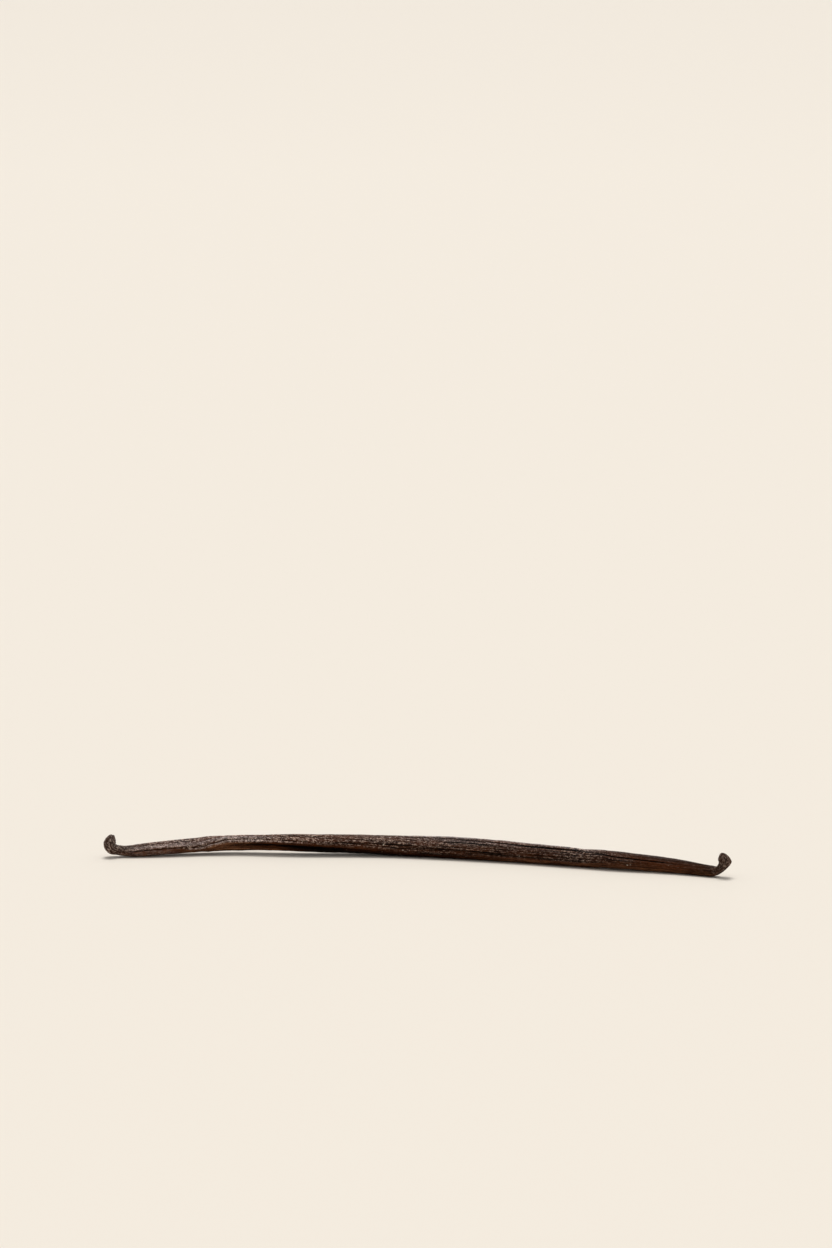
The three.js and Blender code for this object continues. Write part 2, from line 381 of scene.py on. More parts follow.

# %% [markdown]
# ## Marks of this pod
#
# No two pods dry alike. This one has a narrow furrow along its stalk half, a
# crumpled waist where it was once bent, and a few small warts. They are placed
# one by one, each by its place along and around.

# %% Marks of this pod
def spot(along, around, reach, spread):
    return bell(ring_along - along, reach)[:, None] * bell(from_side(around), spread)


NARROW_FOLDS = [  # around, spread, depth in mm at stations along
    (12, 6, [(9, 0), (13, -0.08), (19, -0.03), (26, -0.01), (32, -0.02), (37, -0.07), (43, 0)]),
    (30, 7, [(8, 0), (11, 0.12), (30, 0.08), (42, 0.06), (50, 0)]),
    (42, 3, [(8, 0), (12, -0.05), (24, -0.03), (34, 0)]),
    (1, 6, [(28, 0), (32, 0.1), (60, 0.08), (90, 0.02), (100, 0)]),
    (26, 4, [(76, 0), (82, 0.06), (94, 0.05), (104, 0)]),
    (38, 4, [(87, 0), (91, -0.06), (100, -0.06), (105, 0)]),
    (73, 4, [(105, 0), (111, -0.08), (123, -0.08), (129, 0)]),
    (82, 3, [(122, 0), (127, -0.1), (132, -0.1), (136, 0)]),
    (89, 5, [(98, 0), (104, 0.08), (116, 0.14), (127, 0.14), (133, 0)]),
    (92, 3, [(130, 0), (136, -0.14), (145, -0.18), (149, 0)]),
    (77, 3, [(154, 0), (159, -0.06), (164, -0.08), (169, -0.16), (173, -0.12), (178, 0)]),
    (-70, 14, [(38, 0), (44, 0.12), (66, 0.1), (74, 0)]),
]
WARTS = [  # along, around, reach, spread, height in mm
    (33.4, -82, 1.1, 22, 0.17), (43.4, -100, 1.5, 20, 0.14), (150.5, 55, 0.5, 9, 0.12),
]
CRUMPLE = {"along": 151.5, "around": 62, "reach": 3.2, "spread": 42}
CRUMPLE_PITCH, CRUMPLE_DEPTH, CRUMPLE_WANDER = 1.1, 0.09, 1.6
SUNK = 0.06  # mm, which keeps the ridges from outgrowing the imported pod
relief = laid(relief, NARROW_FOLDS)
for along, around, reach, spread, height in WARTS:
    relief = relief + height * spot(along, around, reach, spread)
crumple_waves = cross_waves(CRUMPLE_PITCH, CRUMPLE_WANDER * wrinkle_wander)
relief = relief + CRUMPLE_DEPTH * spot(**CRUMPLE) * crumple_waves
relief = relief - SUNK
print(f"with its marks the relief spans {np.ptp(relief):.2f} mm")

# %% [markdown]
# ## Lofting the skin
#
# Every ring is an oval set square to the middle line, a little wider than high.
# At the tips the skin rolls in and the cut is slanted. Where a curl is tight, the
# inner side may not cross the centre of its bend, or faces would fold over each
# other, so it is held back there. Last, whatever would be under the table is
# pressed flat: that is the strip the pod rests on.

# %% Lofting the skin
SCARS = {  # slant, its reach, rim radius, how far the rim rolls in, dome
    "stalk": (0.43, 3.2, 1.7, 0.77, 0.38),
    "blossom": (0.52, 2.4, 1.3, 0.94, 0.12),
}
SCAR_RINGS = (0.86, 0.7, 0.52, 0.34, 0.17)
CLOSEST = 0.92  # of the way to the centre of a bend


def at_rings(values):
    return np.stack([np.interp(ring_along, line_along, column) for column in values.T], 1)


def rolled_in(from_tip, rim_radius, roll):
    inset = np.clip(1 - from_tip / rim_radius, 0, 1)
    return roll * (1 - np.sqrt(1 - inset**2))


def slanted(from_tip, slant, reach):
    return slant * ease((reach - from_tip) / reach)


def bend_radius():
    turn = np.gradient(np.radians(pitch_at(ring_along)), ring_along)
    return 1 / np.maximum(turn, 1e-3)


point, direction, upward = map(at_rings, (line_point, line_direction, line_upward))
sideways = np.cross(direction, upward)
angle = np.radians(side_around[None] + twist)
stalk, blossom = SCARS["stalk"], SCARS["blossom"]
rim = rolled_in(ring_along, *stalk[2:4]) + rolled_in(LENGTH - ring_along, *blossom[2:4])
slant = slanted(LENGTH - ring_along, *blossom[:2]) - slanted(ring_along, *stalk[:2])
half = half_height_at(ring_along)[:, None] * folds - rim[:, None] + relief
up = np.minimum(half * np.sin(angle), CLOSEST * bend_radius()[:, None])
across = WIDTH_TO_HEIGHT * half * np.cos(angle)
skin = point[:, None] + across[..., None] * sideways[:, None] + up[..., None] * upward[:, None]
skin = skin + (slant[:, None] * up)[..., None] * direction[:, None]
skin[..., 2] = np.maximum(skin[..., 2], 0)
print("skin box, mm:", np.ptp(skin.reshape(-1, 3), axis=0).round(1))

# %% [markdown]
# ## Scars
#
# One end was cut from its stalk, the other let go of its flower. Both scars are
# small, slanted, fibrous discs. Each is made of ever smaller copies of the tip
# ring, domed a little and roughened with its own noise.

# %% Scars
BUMP_SIDES, BUMP_HEIGHT = 6, 0.05  # how many sides a bump spans, and its height in mm


def scar(ring, outward, dome, seed):
    """Rings of a scar from its rim inwards, and its middle point."""
    middle = ring.mean(axis=0)
    count = SIDES // BUMP_SIDES
    rough = np.random.default_rng(seed).normal(size=(len(SCAR_RINGS), count))
    rings = []
    for share, coarse in zip(SCAR_RINGS, rough):
        bumps = np.interp(np.arange(SIDES) / BUMP_SIDES, np.arange(count), coarse, period=count)
        rise = dome * (1 - share**2) + BUMP_HEIGHT * bumps * share
        rings.append(middle + (ring - middle) * share + rise[:, None] * outward)
    return np.array(rings), middle + dome * outward


stalk_rings, stalk_middle = scar(skin[0], -direction[0], stalk[4], seed=41)
blossom_rings, blossom_middle = scar(skin[-1], direction[-1], blossom[4], seed=43)
rings = np.concatenate([stalk_rings[::-1], skin, blossom_rings])
print(f"{len(rings)} rings with the scars")

# %% [markdown]
# ## From rings to a mesh
#
# The net becomes faces by joining each ring to the next. The corners go straight
# into the mesh with `foreach_set`, which is far quicker than adding them one by
# one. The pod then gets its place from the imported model: the middle of its box
# goes where the model's box has its middle.

# %% From rings to a mesh
def net_faces(ring_count, sides):
    ring, side = np.meshgrid(np.arange(ring_count - 1), np.arange(sides), indexing="ij")
    here, beside = ring * sides + side, ring * sides + (side + 1) % sides
    return np.stack([here, here + sides, beside + sides, beside], -1).reshape(-1, 4)


def fan_faces(ring_start, tip, sides, flipped):
    side = np.arange(sides)
    here, beside = ring_start + side, ring_start + (side + 1) % sides
    order = (beside, here) if flipped else (here, beside)
    return np.stack([np.full(sides, tip), *order], -1)


def new_object(name, data):
    made = bpy.data.objects.new(name, data)
    bpy.context.scene.collection.objects.link(made)
    return made


def make_mesh(name, corners, face_lists):
    """A mesh from corners and arrays of faces, each array with its own face size."""
    mesh = bpy.data.meshes.new(name)
    sizes = np.concatenate([np.full(len(faces), faces.shape[1]) for faces in face_lists])
    mesh.vertices.add(len(corners))
    mesh.vertices.foreach_set("co", np.ascontiguousarray(corners, np.float32).ravel())
    mesh.loops.add(int(sizes.sum()))
    mesh.loops.foreach_set("vertex_index", np.concatenate([f.ravel() for f in face_lists]))
    mesh.polygons.add(len(sizes))
    mesh.polygons.foreach_set("loop_start", np.concatenate([[0], np.cumsum(sizes)[:-1]]))
    mesh.update(calc_edges=True)
    mesh.shade_smooth()
    return new_object(name, mesh)


corners = np.concatenate([rings.reshape(-1, 3), [stalk_middle, blossom_middle]])
low, high = corners.min(axis=0), corners.max(axis=0)
model_middle = np.array((pod_low + pod_high) / 2) / MM
shift = np.append((model_middle - (low + high) / 2)[:2], 0)
corners = (corners + shift) * MM
last_ring, stalk_tip = (len(rings) - 1) * SIDES, len(rings) * SIDES
net = net_faces(len(rings), SIDES)
stalk_fan = fan_faces(0, stalk_tip, SIDES, flipped=False)
blossom_fan = fan_faces(last_ring, stalk_tip + 1, SIDES, flipped=True)
pod = make_mesh("pod_skin", corners, [net, stalk_fan, blossom_fan])
print(f"pod_skin: {len(pod.data.vertices)} corners, {len(pod.data.polygons)} faces")

# %% [markdown]
# ## Rubbed, oily and worn stretches, with painted light and shade
#
# A pod is handled, sorted and bundled for months, so its skin isn't the same all
# over. These stretches also carry painted light and shade: the rubbed top and the
# worn keels are painted pale with highlights, the polished keel has a painted
# highlight, the oily stretches are partly painted shade, and the tawny low flank is
# painted with light thrown back from below. Painting by hand would do, but here each
# stretch is laid like a fold: a bell across the skin whose strength changes along
# the pod.

# %% Rubbed, oily and worn stretches, with painted light and shade
# The rubbed top: dry grey skin, painted paler with the highlight its lit top catches.
RUBBED_AND_HIGHLIGHT = [  # along, how strongly
    (6, 0.6), (14, 0.95), (44, 1), (63, 0.95), (74, 0.75), (95, 0.6), (117, 0.36),
    (139, 0.3), (150, 0.62), (161, 0.2), (171, 0.06), (190, 0.06),
]
RUBBED_HIGHLIGHT_FROM = [  # along, where around it starts
    (14, 20), (22, 16), (29, -4), (38, -14), (44, -12), (52, -5), (63, 3), (74, 8),
    (95, 8), (106, 6), (139, 12), (161, 20), (190, 20),
]
RUBBED_HIGHLIGHT_FADE = [(14, 14), (58, 14), (76, 40), (190, 60)]
# Oily stretches: dark oil, and painted shade under the front keel, in the crook of the stalk curl and
# over the back.
OIL_AND_SHADE = [  # around, spread, strength at stations along, here and in the next three
    (48, 45, [(4, 0), (6.5, 0.8), (9.5, 0.8), (13, 0)]),
    (-34, 22, [(46, 0), (51, 0.2), (55, 0.3), (61, 0.9), (80, 0.4), (100, 0)]),
    (13, 7, [(64, 0), (69, 0.4), (76, 0.4), (80, 0)]),
    (-2, 12, [(96, 0), (101, 0.9), (111, 0.8), (120, 0)]),
    (17, 10, [(118, 0), (124, 0.8), (152, 0.8), (157, 0)]),
    (33, 6, [(141, 0), (145, 0.5), (152, 0.5), (157, 0)]),
    (73, 6, [(104, 0), (111, 0.5), (125, 0.5), (131, 0)]),
    (-58, 36, [(58, 0), (70, 0.8), (92, 0.9), (116, 0.5), (138, 0)]),
    (116, 26, [(155, 0), (162, 0.5), (186, 0.5), (193, 0)]),
    (30, 75, [(181, 0), (188, 0.4), (194, 0.45), (198, 0)]),
    (172, 55, [(4, 0), (14, 0.55), (190, 0.6), (196, 0)]),
]
# Tawny stretches: lighter flesh on the low flank, painted lighter still with the light that a pale
# floor throws back.
TAWNY_AND_BOUNCE = [
    (-40, 50, [(6, 0.8), (10, 1.2), (18, 1.2), (26, 1), (38, 0)]),
    (-75, 45, [(26, 0), (34, 1), (40, 1), (48, 0)]),
    (-40, 42, [(108, 0), (122, 0.5), (148, 1), (160, 0.8), (170, 0)]),
    (-24, 42, [(158, 0), (168, 1), (188, 0.8), (194, 0)]),
    (-84, 26, [(34, 0), (42, 1.2), (54, 1.5), (61, 0)]),
    (-25, 24, [(33, 0), (36, 1), (44, 1), (49, 0)]),
    (-23, 20, [(116, 0), (130, 0.6), (160, 0.7), (166, 0)]),
    (-8, 20, [(160, 0), (166, 0.7), (190, 0.7), (196, 0)]),
]
# Worn keels: pale wear, painted paler with the highlights along their crests; the zones at -20 and -38
# around paint light thrown back onto the low flank.
WORN_AND_HIGHLIGHT = [
    (38, 12, [(8, 0), (11, 1), (22, 1.3), (34, 1.6), (44, 1.4), (56, 0)]),
    (66, 22, [(9, 0), (13, 0.25), (36, 0.25), (52, 0)]),
    (18, 5, [(8, 0), (10, 1.2), (14, 1.2), (17, 0)]),
    (46, 9, [(20, 0), (23, 1), (33, 1), (37, 0)]),
    (-20, 35, [(8, 0), (11, 0.35), (20, 0.35), (25, 0)]),
    (-38, 14, [(8, 0), (11, 0.2), (22, 0.2), (26, 0)]),
    (86, 10, [(76, 0), (84, 0.35), (98, 0.4), (110, 0.6), (130, 0.6), (134, 0)]),
    (95, 6, [(146, 0), (149, 0.5), (154, 0.5), (158, 0)]),
    (165, 33, [(153, 0), (161, 0.3), (188, 0.25), (195, 0)]),
    (1, 6, [(26, 0), (29, 1), (46, 1.2), (56, 0.3), (66, 0)]),
]
# The polished top keel: rubbed smoother and shinier, and painted with a pale highlight.
POLISHED_AND_HIGHLIGHT = [
    (109, 6, [(90, 0), (99, 0.85), (122, 0.9), (148, 0.95), (154, 0.4), (158, 0)]),
]
oil_and_shade, tawny_and_bounce, worn_and_highlight, polished_and_highlight = (laid(0, zones) for zones in (OIL_AND_SHADE, TAWNY_AND_BOUNCE, WORN_AND_HIGHLIGHT, POLISHED_AND_HIGHLIGHT))
print("oiliest", oil_and_shade.max().round(2), "most worn", worn_and_highlight.max().round(2))

# %% [markdown]
# ## What the finish needs to know
#
# The colours follow the relief: the furrows are painted dark as shade, and the
# backs of the pleats rub dry and grey and are painted with highlights. The mesh
# code knows all that already, so it writes it down for the material as named
# attributes, one number for each corner:
#
# - `unrolled`: the place on the straightened pod, in mm, for combed textures,
# - `crest`: 0 in the bottom of a pleat, 1 on its back,
# - `rubbed_and_highlight`: near 1 where the upper face has rubbed dry and grey, painted paler
#   with the highlight of its lit top,
# - `worn_and_highlight`: near 1 along the keels that rub first and go palest, painted with
#   highlights, and on a stretch of the low flank painted with light from below,
# - `polished_and_highlight`: near 1 along the top keel, which has rubbed smooth, shines and has
#   a painted highlight,
# - `oil_and_shade`: near 1 where the skin is dark with oil and with painted shade,
# - `tawny_and_bounce`: near 1 where the flesh is lighter and painted with light thrown back
#   from below,
# - `dryness`: 0 on the oily body, up to 1 on the hard ends.

# %% What the finish needs to know
def smeared(values, width):
    """The sheet blurred around the pod by so many sides."""
    waves = np.fft.rfftfreq(SIDES) * 2 * np.pi
    keep = np.exp(-0.5 * (waves * width) ** 2)
    return np.fft.irfft(np.fft.rfft(values, axis=1) * keep, n=SIDES, axis=1)


def with_scars(values, on_scar):
    """Adds the scars' rings and tips to a sheet of values on the skin's rings."""
    scars = np.full((len(SCAR_RINGS), SIDES), on_scar)
    return np.concatenate([scars, values, scars]).ravel().tolist() + [on_scar, on_scar]


def write_attribute(piece, name, values, kind="FLOAT", key="value"):
    attribute = piece.data.attributes.new(name, kind, "POINT")
    attribute.data.foreach_set(key, np.asarray(values, np.float32).ravel())


DRYNESS = [
    (0, 1), (5, 1), (8, 0.5), (12, 0), (190, 0), (193, 0.4), (195.6, 0.75), (197.2, 0.5),
    (LENGTH, 0.35),
]
CREST_WIDTHS, CREST_SHARES = (2, 5, 14), (0.16, 0.13, 0.06)  # fine, middling, broad rises
# The painted highlight of the rubbed top ends this far above the front edge, and less of it is painted
# on the back, where the key light falls directly.
RUBBED_HIGHLIGHT_TO, RUBBED_HIGHLIGHT_TO_FADE = 240, 50  # degrees above the front edge
LESS_BEHIND, BEHIND_FROM, BEHIND_FADE = 0.75, 80, 50
rises = [half - smeared(half, sides) for sides in CREST_WIDTHS]
crest = 0.5 + sum(share * rise / rise.std() for share, rise in zip(CREST_SHARES, rises))
crest = np.clip(crest, 0, 1)
front_edge = through(RUBBED_HIGHLIGHT_FROM, ring_along)[:, None]
above_edge = (side_around[None] - front_edge + 90) % 360 - 90
fade = through(RUBBED_HIGHLIGHT_FADE, ring_along)[:, None]
rubbed_and_highlight = ease(above_edge / fade + 0.5) * ease((RUBBED_HIGHLIGHT_TO - above_edge) / RUBBED_HIGHLIGHT_TO_FADE)
less_behind = 1 - LESS_BEHIND * ease((above_edge - BEHIND_FROM) / BEHIND_FADE)
rubbed_and_highlight = rubbed_and_highlight * less_behind * through(RUBBED_AND_HIGHLIGHT, ring_along)[:, None]
dryness = np.broadcast_to(through(DRYNESS, ring_along)[:, None], crest.shape)
all_along = np.concatenate([np.zeros(len(SCAR_RINGS)), ring_along, np.full(len(SCAR_RINGS), LENGTH)])
shares = np.concatenate([SCAR_RINGS[::-1], np.ones(len(ring_along)), SCAR_RINGS])
radius = (half_height_at(all_along) * shares)[:, None]
turn = np.radians(side_around)[None]
unrolled = np.stack(np.broadcast_arrays(
    all_along[:, None] + (1 - shares[:, None]), radius * np.cos(turn), radius * np.sin(turn)), -1)
unrolled = np.concatenate([unrolled.reshape(-1, 3), [[0, 0, 0], [LENGTH, 0, 0]]])
write_attribute(pod, "unrolled", unrolled, "FLOAT_VECTOR", "vector")
for name, sheet, on_scar in (
    ("crest", crest, 0.5), ("rubbed_and_highlight", rubbed_and_highlight, 0.0), ("oil_and_shade", oil_and_shade, 0.0), ("tawny_and_bounce", tawny_and_bounce, 0.0),
    ("worn_and_highlight", worn_and_highlight, 0.0), ("polished_and_highlight", polished_and_highlight, 0.0), ("dryness", dryness, 0.5),
):
    write_attribute(pod, name, with_scars(sheet, on_scar))
print("mean crest", crest.mean().round(2))

# %% [markdown]
# ## A map for painting
#
# A map lays the skin out flat, so that the finish can be baked into pictures
# later. A pod is eleven times longer than it is around, which wastes a square
# picture, so the skin is cut into three strips stacked on top of each other. The
# two scars lie as small discs above them.

# %% A map for painting
STRIPS, STRIP_HEIGHT, STRIP_GAP = 3, 0.3, 0.01
DISC_REACH, DISC_HEIGHT = 0.03, 0.95
STALK_DISC, BLOSSOM_DISC = 0.2, 0.8


def strip_places(along, around):
    """Map places of corners, given per face corner, kept in the strip of its face."""
    strip = np.minimum(along.mean(axis=1, keepdims=True) * STRIPS // LENGTH, STRIPS - 1)
    across = along * STRIPS / LENGTH - strip
    height = STRIP_GAP + around / 360 * (STRIP_HEIGHT - STRIP_GAP) + strip * STRIP_HEIGHT
    return np.stack([STRIP_GAP + across * (1 - 2 * STRIP_GAP), height], -1)


def disc_places(share, around, centre):
    reach = DISC_REACH * share
    turn = np.radians(around)
    return np.stack([centre + reach * np.cos(turn), DISC_HEIGHT + reach * np.sin(turn)], -1)


def map_net():
    """Map places of the four corners of every face of the net."""
    ring = net[:, :1] // SIDES + np.array([0, 1, 1, 0])
    side = net[:, :1] % SIDES + np.array([0, 0, 1, 1])
    around = side * 360 / SIDES
    places = strip_places(all_along[ring], around)
    scar_count = len(SCAR_RINGS)
    on_stalk_scar = ring.max(axis=1) <= scar_count
    on_blossom_scar = ring.min(axis=1) >= len(rings) - 1 - scar_count
    for centre, on_scar in ((STALK_DISC, on_stalk_scar), (BLOSSOM_DISC, on_blossom_scar)):
        share = shares[ring[on_scar]]
        places[on_scar] = disc_places(share, around[on_scar], centre)
    return places


def map_fan(centre, flipped):
    side = np.arange(SIDES)[:, None] + np.array([0, 1, 0] if flipped else [0, 0, 1])
    share = np.array([0, SCAR_RINGS[-1], SCAR_RINGS[-1]])
    return disc_places(np.broadcast_to(share, side.shape), side * 360 / SIDES, centre)


layout = pod.data.uv_layers.new(name="OFBake")
parts = (map_net(), map_fan(STALK_DISC, flipped=False), map_fan(BLOSSOM_DISC, flipped=True))
places = np.concatenate([part.reshape(-1, 2) for part in parts])
layout.uv.foreach_set("vector", places.astype(np.float32).ravel())
print("map runs from", places.min(axis=0).round(2), "to", places.max(axis=0).round(2))

# %% [markdown]
# ## Tools for finishes
#
# Node trees are quicker to read when each node is one short line. `add` makes a
# node and feeds its inputs: a number or colour is set on the socket, and a socket
# of another node is linked to it. `new_group` starts a node group with named
# sockets, for effects that several finishes share.

# %% Tools for finishes
def add(tree, kind, inputs=None, **settings):
    node = tree.nodes.new(kind)
    for name, value in settings.items():
        setattr(node, name, value)
    for name, value in (inputs or {}).items():
        if isinstance(value, bpy.types.NodeSocket):
            tree.links.new(value, node.inputs[name])
        else:
            node.inputs[name].default_value = value
    return node


def attribute(tree, name, output="Fac"):
    return add(tree, "ShaderNodeAttribute", attribute_name=name).outputs[output]


def maths(tree, operation, first, second=0.0):
    return add(tree, "ShaderNodeMath", {0: first, 1: second}, operation=operation).outputs[0]


def remap(tree, value, low, high, to_low=0.0, to_high=1.0):
    sockets = {"Value": value, "From Min": low, "From Max": high, "To Min": to_low, "To Max": to_high}
    return add(tree, "ShaderNodeMapRange", sockets, interpolation_type="SMOOTHSTEP").outputs[0]


def blend_colours(tree, share, first, second):
    inputs = {0: share, 6: first, 7: second}
    return add(tree, "ShaderNodeMix", inputs, data_type="RGBA").outputs[2]


def new_group(name, inputs, outputs):
    """A node group and its inner ends; an input without a value is a vector."""
    group = bpy.data.node_groups.new(name, "ShaderNodeTree")
    for socket, value in inputs.items():
        kind = "NodeSocketVector" if value is None else "NodeSocketFloat"
        made = group.interface.new_socket(socket, in_out="INPUT", socket_type=kind)
        if value is not None:
            made.default_value = value
    for socket in outputs:
        group.interface.new_socket(socket, in_out="OUTPUT", socket_type="NodeSocketFloat")
    return group, group.nodes.new("NodeGroupInput"), group.nodes.new("NodeGroupOutput")


def use_group(tree, group, inputs):
    return add(tree, "ShaderNodeGroup", inputs, node_tree=group).outputs


def squeezed_place(tree, place, stretch):
    parts = add(tree, "ShaderNodeSeparateXYZ", {0: place}).outputs
    inputs = {0: maths(tree, "DIVIDE", parts[0], stretch), 1: parts[1], 2: parts[2]}
    return add(tree, "ShaderNodeCombineXYZ", inputs).outputs[0]


def colour(code):
    """A six-digit colour code as the linear light that shaders work in."""
    parts = [int(code[i:i + 2], 16) / 255 for i in (0, 2, 4)]
    return [p / 12.92 if p <= 0.04045 else ((p + 0.055) / 1.055) ** 2.4 for p in parts] + [1.0]


def start_finish(name):
    material = bpy.data.materials.new(name)
    material.use_nodes = True
    material.node_tree.nodes.clear()
    return material, material.node_tree


def end_finish(material, piece, inputs):
    """Ends a finish in a Principled shader and lays it on its piece."""
    shader = add(material.node_tree, "ShaderNodeBsdfPrincipled", inputs)
    add(material.node_tree, "ShaderNodeOutputMaterial", {"Surface": shader.outputs[0]})
    piece.data.materials.append(material)
    print("finish:", material.name, len(material.node_tree.nodes), "nodes")


print("a mid brown in linear light:", [round(x, 3) for x in colour("5a3a28")[:3]])

# %% [markdown]
# ## Shared effect: lengthwise grain
#
# Fibres under the skin show as thin broken strokes along the pod. Noise becomes
# strokes when the place it is asked for is squeezed along one way: here the
# along-number is divided by `Stretch` before the noise sees it. The skin uses
# the group for fibres, stains and dry flakes, and the flecks use it too.

# %% Shared effect: lengthwise grain
grain_group, start, end = new_group(
    "lengthwise grain",
    {"Place": None, "Per mm": 3.0, "Stretch": 8.0, "Detail": 3.0, "Low": 0.35, "High": 0.65},
    ["Grain"],
)
place = squeezed_place(grain_group, start.outputs["Place"], start.outputs["Stretch"])
noise = add(grain_group, "ShaderNodeTexNoise", {
    "Vector": place, "Scale": start.outputs["Per mm"],
    "Detail": start.outputs["Detail"], "Roughness": 0.6})
mask = remap(grain_group, noise.outputs[0], start.outputs["Low"], start.outputs["High"])
grain_group.links.new(mask, end.inputs["Grain"])
print("group:", grain_group.name, [s.name for s in grain_group.interface.items_tree])

# %% [markdown]
# ## Shared effect: crinkles
#
# Dried skin is never smooth between its pleats. It is crinkled all over in short
# scaly folds, which break its shine into sparks. Noise has round hills, but the
# middle level of it is crossed along thin lines. Taking the distance from that
# level gives round backs that meet in sharp creases. The skin uses the group for
# the crinkles of the body and for the rounder grain of the ends.

# %% Shared effect: crinkles
crinkle_group, start, end = new_group(
    "crinkles",
    {"Place": None, "Per mm": 2.0, "Stretch": 2.5, "Full at": 0.12},
    ["Height"],
)
MIDDLE_LEVEL = 0.5  # of the noise
place = squeezed_place(crinkle_group, start.outputs["Place"], start.outputs["Stretch"])
noise = add(crinkle_group, "ShaderNodeTexNoise", {
    "Vector": place, "Scale": start.outputs["Per mm"], "Detail": 2.0, "Roughness": 0.5,
    "Distortion": 0.4})
offset = maths(crinkle_group, "SUBTRACT", noise.outputs[0], MIDDLE_LEVEL)
away = maths(crinkle_group, "ABSOLUTE", offset)
height = remap(crinkle_group, away, 0.0, start.outputs["Full at"])
crinkle_group.links.new(height, end.inputs["Height"])
print("group:", crinkle_group.name)

# %% [markdown]
# ## Skin finish: masks
#
# The attributes say where a colour may go, and the two shared groups break it up
# into fibres, stains and flakes. A flake is the back of a crinkle, and the specks
# decide which of them are painted pale: as dried skin, and on the rubbed top and
# worn keels also as painted glints.

# %% Skin finish: masks
skin_finish, tree = start_finish("cured vanilla skin")
skin_place = attribute(tree, "unrolled", "Vector")
crest_mask, dry_mask, rubbed_highlight_mask, oil_and_shade_mask, tawny_bounce_mask, worn_highlight_mask, polished_and_highlight_mask = (
    attribute(tree, name)
    for name in ("crest", "dryness", "rubbed_and_highlight", "oil_and_shade", "tawny_and_bounce", "worn_and_highlight", "polished_and_highlight"))
fibres = use_group(tree, grain_group, {
    "Place": skin_place, "Per mm": 2.4, "Stretch": 9.0, "Detail": 4.0, "Low": 0.38, "High": 0.64})
stains = use_group(tree, grain_group, {
    "Place": skin_place, "Per mm": 0.3, "Stretch": 6.0, "Detail": 3.0, "Low": 0.36, "High": 0.66})
specks = use_group(tree, grain_group, {
    "Place": skin_place, "Per mm": 2.3, "Stretch": 2.5, "Detail": 2.0, "Low": 0.42, "High": 0.58})
crinkles = use_group(tree, crinkle_group, {"Place": skin_place, "Per mm": 2.6, "Stretch": 2.1})
grains = use_group(tree, crinkle_group, {
    "Place": skin_place, "Per mm": 1.9, "Stretch": 1.0, "Full at": 0.16})
folds_height = add(
    tree, "ShaderNodeMix", {0: dry_mask, 2: crinkles["Height"], 3: grains["Height"]},
    data_type="FLOAT").outputs[0]
speck_share = remap(tree, specks["Grain"], 0.0, 1.0, 0.12, 1.0)
flakes = remap(tree, maths(tree, "MULTIPLY", folds_height, speck_share), 0.12, 0.68)
print("masks:", len(tree.nodes), "nodes")

# %% [markdown]
# ## Skin finish: colours
#
# The pleats are painted nearly black, as shade. The low flank is a warm brown,
# partly lighter flesh and partly painted light thrown back from below, and the
# backs are grey-brown where they have rubbed dry, with painted highlights on the
# lit top. The colours are laid like glazes, one over the other: a dark ground, warm
# stains, lighter stretches with painted bounce light, oily stretches partly painted
# as shade, pleats painted black as shade, dry backs and worn and polished keels
# with painted highlights, then the dull ends.

# %% Skin finish: colours
DARK_GROUND, BROWN_GROUND, WARM_STAIN = colour("220e05"), colour("4d2912"), colour("5c2f13")
# Tawny colours: lighter flesh, with painted light thrown back from below.
DARK_TAWNY_BOUNCE, PALE_TAWNY_BOUNCE = colour("5d3722"), colour("9c6a49")
# Painted shade: the dark of the oily stretches, partly real oil, and of the pleat bottoms.
DARK_OIL_AND_SHADE, PLEAT_SHADE = colour("0f0602"), colour("0a0402")
# Pale colours, partly dry skin and partly painted highlight: the rubbed backs, the worn keels and the
# polished top keel.
DRY_BACK_AND_HIGHLIGHT, WORN_BACK_HIGHLIGHT, POLISH_HIGHLIGHT = colour("f2cfb9"), colour("ead2ca"), colour("b8aeb0")
DARK_END, PALE_END = colour("4b3a32"), colour("bfa799")
GLAZE = 0.85  # the most that a glaze covers

ground = blend_colours(tree, fibres["Grain"], DARK_GROUND, BROWN_GROUND)
warm = blend_colours(tree, stains["Grain"], ground, WARM_STAIN)
tawny_bounce_flesh = blend_colours(tree, fibres["Grain"], DARK_TAWNY_BOUNCE, PALE_TAWNY_BOUNCE)
# The low flank painted lighter with light thrown back from below.
flesh = blend_colours(tree, maths(tree, "MULTIPLY", tawny_bounce_mask, GLAZE), warm, tawny_bounce_flesh)
# Oily stretches painted dark, partly as painted shade.
oiled_and_shaded = blend_colours(tree, maths(tree, "MULTIPLY", oil_and_shade_mask, GLAZE), flesh, DARK_OIL_AND_SHADE)
# The bottoms of the pleats are painted near black as shade.
shaded_pleats = blend_colours(tree, remap(tree, crest_mask, 0.42, 0.03), oiled_and_shaded, PLEAT_SHADE)
# Rubbed backs painted pale, as dry skin and as painted highlight.
dry_highlit_backs = maths(tree, "MULTIPLY", remap(tree, crest_mask, 0.15, 0.75), flakes)
backs = blend_colours(tree, maths(tree, "MULTIPLY", dry_highlit_backs, rubbed_highlight_mask), shaded_pleats, DRY_BACK_AND_HIGHLIGHT)
# Worn keels painted pale, as wear and as painted highlight.
worn_highlight_share = maths(tree, "MULTIPLY", worn_highlight_mask, remap(tree, flakes, 0.0, 0.7, 0.2, 1.0))
worn_highlight_backs = maths(tree, "MULTIPLY", worn_highlight_share, remap(tree, crest_mask, 0.1, 0.6))
worn_highlit_keels = blend_colours(tree, worn_highlight_backs, backs, WORN_BACK_HIGHLIGHT)
